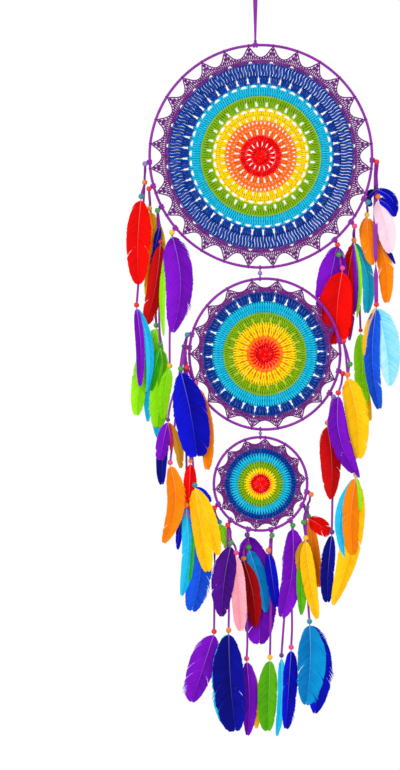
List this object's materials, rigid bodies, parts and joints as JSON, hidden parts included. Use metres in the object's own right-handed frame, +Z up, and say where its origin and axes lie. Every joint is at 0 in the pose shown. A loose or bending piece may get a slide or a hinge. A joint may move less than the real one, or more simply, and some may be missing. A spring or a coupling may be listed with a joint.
{
  "type": "dreamcatcher",
  "caption": "Rainbow folk dreamcatcher: crocheted mandalas in ribbon-bound hoops hung one below the other, with beaded purple ribbons and dyed feathers.",
  "frame": {"origin": "inside of the hanging loop at its top, where the hook bears", "axes": "+Z up along the hanging line, +X to the right as seen from the front, -Y towards the viewer; the mandalas lie in the XZ plane"},
  "size_m": [0.3687, 0.0516, 1.0029],
  "materials": {
    "hoop_steel": "plain drawn wire",
    "purple_ribbon": "soft satin",
    "crochet_cotton": "matt yarn in coloured rounds",
    "lilac_bead": "painted, half gloss",
    "blue_feather": "dyed feather, soft sheen",
    "cyan_feather": "dyed feather, soft sheen",
    "lime_feather": "dyed feather, soft sheen",
    "orange_feather": "dyed feather, soft sheen",
    "pink_feather": "dyed feather, soft sheen",
    "purple_feather": "dyed feather, soft sheen",
    "red_feather": "dyed feather, soft sheen",
    "teal_feather": "dyed feather, soft sheen",
    "violet_feather": "dyed feather, soft sheen",
    "yellow_feather": "dyed feather, soft sheen"
  },
  "bodies": {
    "hanger": {"hanging_loop": "purple_ribbon"},
    "big_hoop": {"big_hoop_wire": "hoop_steel", "big_hoop_binding": "purple_ribbon", "big_mandala": "crochet_cotton"},
    "middle_hoop": {"upper_link": "lilac_bead", "middle_hoop_wire": "hoop_steel", "middle_hoop_binding": "purple_ribbon", "middle_mandala": "crochet_cotton"},
    "small_hoop": {"lower_link": "lilac_bead", "small_hoop_wire": "hoop_steel", "small_hoop_binding": "purple_ribbon", "small_mandala": "crochet_cotton"},
    "big_left_1": {"big_left_1_red_feathers": "red_feather", "big_left_1_strand": "purple_ribbon"},
    "big_left_2": {"big_left_2_yellow_feathers": "yellow_feather", "big_left_2_strand": "purple_ribbon"},
    "big_left_3": {"big_left_3_red_feathers": "red_feather", "big_left_3_strand": "purple_ribbon"},
    "big_left_4": {"big_left_4_purple_feathers": "purple_feather", "big_left_4_strand": "purple_ribbon"},
    "big_right_1": {"big_right_1_blue_feathers": "blue_feather", "big_right_1_strand": "purple_ribbon"},
    "big_right_2": {"big_right_2_orange_feathers": "orange_feather", "big_right_2_strand": "purple_ribbon"},
    "big_right_3": {"big_right_3_teal_feathers": "teal_feather", "big_right_3_strand": "purple_ribbon"},
    "big_right_4": {"big_right_4_purple_feathers": "purple_feather", "big_right_4_red_feathers": "red_feather", "big_right_4_strand": "purple_ribbon"},
    "middle_left_1": {"middle_left_1_blue_feathers": "blue_feather", "middle_left_1_purple_feathers": "purple_feather", "middle_left_1_strand": "purple_ribbon"},
    "middle_left_2": {"middle_left_2_orange_feathers": "orange_feather", "middle_left_2_yellow_feathers": "yellow_feather", "middle_left_2_strand": "purple_ribbon"},
    "middle_right_1": {"middle_right_1_yellow_feathers": "yellow_feather", "middle_right_1_strand": "purple_ribbon"},
    "middle_right_2": {"middle_right_2_purple_feathers": "purple_feather", "middle_right_2_strand": "purple_ribbon"},
    "middle_right_3": {"middle_right_3_red_feathers": "red_feather", "middle_right_3_strand": "purple_ribbon"},
    "small_1": {"small_1_lime_feathers": "lime_feather", "small_1_strand": "purple_ribbon"},
    "small_2": {"small_2_violet_feathers": "violet_feather", "small_2_pink_feathers": "pink_feather", "small_2_strand": "purple_ribbon"},
    "small_3": {"small_3_purple_feathers": "purple_feather", "small_3_cyan_feathers": "cyan_feather", "small_3_red_feathers": "red_feather", "small_3_strand": "purple_ribbon"},
    "small_4": {"small_4_blue_feathers": "blue_feather", "small_4_strand": "purple_ribbon"},
    "small_5": {"small_5_purple_feathers": "purple_feather", "small_5_strand": "purple_ribbon"},
    "small_6": {"small_6_orange_feathers": "orange_feather", "small_6_strand": "purple_ribbon"},
    "small_7": {"small_7_yellow_feathers": "yellow_feather", "small_7_strand": "purple_ribbon"}
  },
  "joints": [
    {"name": "big_hoop_swing", "type": "hinge", "parent": "hanger", "child": "big_hoop", "pos_m": [0, 0, -0.074], "axis": [0, 1, 0], "range_deg": [-5, 5]},
    {"name": "middle_hoop_swing", "type": "hinge", "parent": "big_hoop", "child": "middle_hoop", "pos_m": [0.0064, 0, -0.37181], "axis": [0, 1, 0], "range_deg": [-5, 5]},
    {"name": "small_hoop_swing", "type": "hinge", "parent": "middle_hoop", "child": "small_hoop", "pos_m": [0.0068, 0, -0.58864], "axis": [0, 1, 0], "range_deg": [-5, 5]},
    {"name": "big_left_1_sway", "type": "hinge", "parent": "big_hoop", "child": "big_left_1", "pos_m": [-0.1414, 0, -0.23061], "axis": [0, 1, 0], "range_deg": [-5, 5]},
    {"name": "big_left_2_sway", "type": "hinge", "parent": "big_hoop", "child": "big_left_2", "pos_m": [-0.13618, 0, -0.26264], "axis": [0, 1, 0], "range_deg": [-5, 5]},
    {"name": "big_left_3_sway", "type": "hinge", "parent": "big_hoop", "child": "big_left_3", "pos_m": [-0.12536, 0, -0.29046], "axis": [0, 1, 0], "range_deg": [-5, 5]},
    {"name": "big_left_4_sway", "type": "hinge", "parent": "big_hoop", "child": "big_left_4", "pos_m": [-0.10674, 0, -0.31859], "axis": [0, 1, 0], "range_deg": [-5, 5]},
    {"name": "big_right_1_sway", "type": "hinge", "parent": "big_hoop", "child": "big_right_1", "pos_m": [0.15631, 0, -0.22802], "axis": [0, 1, 0], "range_deg": [-5, 5]},
    {"name": "big_right_2_sway", "type": "hinge", "parent": "big_hoop", "child": "big_right_2", "pos_m": [0.14506, 0, -0.27984], "axis": [0, 1, 0], "range_deg": [-5, 5]},
    {"name": "big_right_3_sway", "type": "hinge", "parent": "big_hoop", "child": "big_right_3", "pos_m": [0.12794, 0, -0.3104], "axis": [0, 1, 0], "range_deg": [-5, 5]},
    {"name": "big_right_4_sway", "type": "hinge", "parent": "big_hoop", "child": "big_right_4", "pos_m": [0.10613, 0, -0.33441], "axis": [0, 1, 0], "range_deg": [-5, 5]},
    {"name": "middle_left_1_sway", "type": "hinge", "parent": "middle_hoop", "child": "middle_left_1", "pos_m": [-0.08486, 0, -0.46168], "axis": [0, 1, 0], "range_deg": [-5, 5]},
    {"name": "middle_left_2_sway", "type": "hinge", "parent": "middle_hoop", "child": "middle_left_2", "pos_m": [-0.08792, 0, -0.47901], "axis": [0, 1, 0], "range_deg": [-5, 5]},
    {"name": "middle_right_1_sway", "type": "hinge", "parent": "middle_hoop", "child": "middle_right_1", "pos_m": [0.11201, 0, -0.46941], "axis": [0, 1, 0], "range_deg": [-5, 3]},
    {"name": "middle_right_2_sway", "type": "hinge", "parent": "middle_hoop", "child": "middle_right_2", "pos_m": [0.11111, 0, -0.51054], "axis": [0, 1, 0], "range_deg": [-3, 5]},
    {"name": "middle_right_3_sway", "type": "hinge", "parent": "middle_hoop", "child": "middle_right_3", "pos_m": [0.09927, 0, -0.53983], "axis": [0, 1, 0], "range_deg": [-5, 5]},
    {"name": "small_1_sway", "type": "hinge", "parent": "small_hoop", "child": "small_1", "pos_m": [-0.04918, 0, -0.68914], "axis": [0, 1, 0], "range_deg": [-5, 5]},
    {"name": "small_2_sway", "type": "hinge", "parent": "small_hoop", "child": "small_2", "pos_m": [-0.03275, 0, -0.70997], "axis": [0, 1, 0], "range_deg": [-5, 5]},
    {"name": "small_3_sway", "type": "hinge", "parent": "small_hoop", "child": "small_3", "pos_m": [-0.00918, 0, -0.72211], "axis": [0, 1, 0], "range_deg": [-5, 5]},
    {"name": "small_4_sway", "type": "hinge", "parent": "small_hoop", "child": "small_4", "pos_m": [0.02106, 0, -0.72264], "axis": [0, 1, 0], "range_deg": [-5, 5]},
    {"name": "small_5_sway", "type": "hinge", "parent": "small_hoop", "child": "small_5", "pos_m": [0.04633, 0, -0.71032], "axis": [0, 1, 0], "range_deg": [-5, 5]},
    {"name": "small_6_sway", "type": "hinge", "parent": "small_hoop", "child": "small_6", "pos_m": [0.06855, 0, -0.6726], "axis": [0, 1, 0], "range_deg": [-5, 5]},
    {"name": "small_7_sway", "type": "hinge", "parent": "small_hoop", "child": "small_7", "pos_m": [0.06269, 0, -0.69012], "axis": [0, 1, 0], "range_deg": [-5, 5]}
  ]
}
